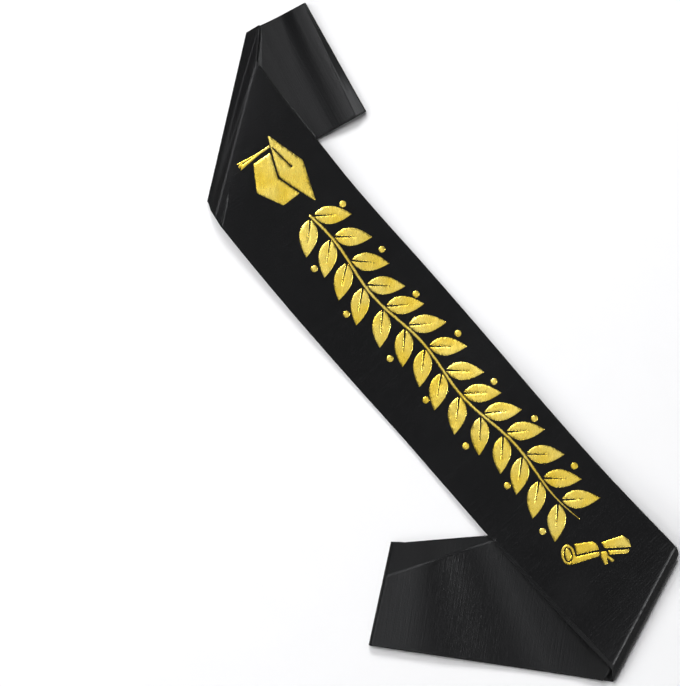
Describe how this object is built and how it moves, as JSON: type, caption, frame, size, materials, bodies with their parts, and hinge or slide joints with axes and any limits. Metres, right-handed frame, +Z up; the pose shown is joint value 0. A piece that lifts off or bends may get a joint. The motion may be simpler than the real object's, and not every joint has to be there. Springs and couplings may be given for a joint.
{
  "type": "graduation sash",
  "caption": "Black satin graduation sash, a flattened loop of ribbon lying folded, with gold foil cap, laurel garland and scroll.",
  "frame": {"origin": "under the middle of the sash's box, on the surface that it lies on", "axes": "+Z up from the surface, +Y along the longest side of the box towards the shoulder fold, +X towards the hip fold"},
  "size_m": [0.3536, 0.504, 0.0088],
  "materials": {
    "satin": "black satin with a soft sheen",
    "gold_foil": "bright gold foil, slightly crinkled"
  },
  "bodies": {
    "root": {"ribbon_band": "satin", "cap_board": "gold_foil", "cap_crown": "gold_foil", "cap_tassel": "gold_foil", "garland_stem": "gold_foil", "garland_leaf_01": "gold_foil", "garland_leaf_02": "gold_foil", "garland_leaf_03": "gold_foil", "garland_leaf_04": "gold_foil", "garland_leaf_05": "gold_foil", "garland_leaf_06": "gold_foil", "garland_leaf_07": "gold_foil", "garland_leaf_08": "gold_foil", "garland_leaf_09": "gold_foil", "garland_leaf_10": "gold_foil", "garland_leaf_11": "gold_foil", "garland_leaf_12": "gold_foil", "garland_leaf_13": "gold_foil", "garland_leaf_14": "gold_foil", "garland_leaf_15": "gold_foil", "garland_leaf_16": "gold_foil", "garland_leaf_17": "gold_foil", "garland_leaf_18": "gold_foil", "garland_leaf_19": "gold_foil", "garland_leaf_20": "gold_foil", "garland_leaf_21": "gold_foil", "garland_leaf_22": "gold_foil", "garland_leaf_23": "gold_foil", "garland_leaf_24": "gold_foil", "garland_leaf_25": "gold_foil", "garland_leaf_26": "gold_foil", "garland_leaf_27": "gold_foil", "garland_leaf_28": "gold_foil", "garland_berry_01": "gold_foil", "garland_berry_02": "gold_foil", "garland_berry_03": "gold_foil", "garland_berry_04": "gold_foil", "garland_berry_05": "gold_foil", "garland_berry_06": "gold_foil", "garland_berry_07": "gold_foil", "garland_berry_08": "gold_foil", "garland_berry_09": "gold_foil", "garland_berry_10": "gold_foil", "garland_berry_11": "gold_foil", "garland_berry_12": "gold_foil", "garland_berry_13": "gold_foil", "garland_berry_14": "gold_foil", "scroll_body_left": "gold_foil", "scroll_body_right": "gold_foil", "scroll_lip_right": "gold_foil", "scroll_tie": "gold_foil", "scroll_ring": "gold_foil", "scroll_core": "gold_foil"}
  },
  "joints": []
}
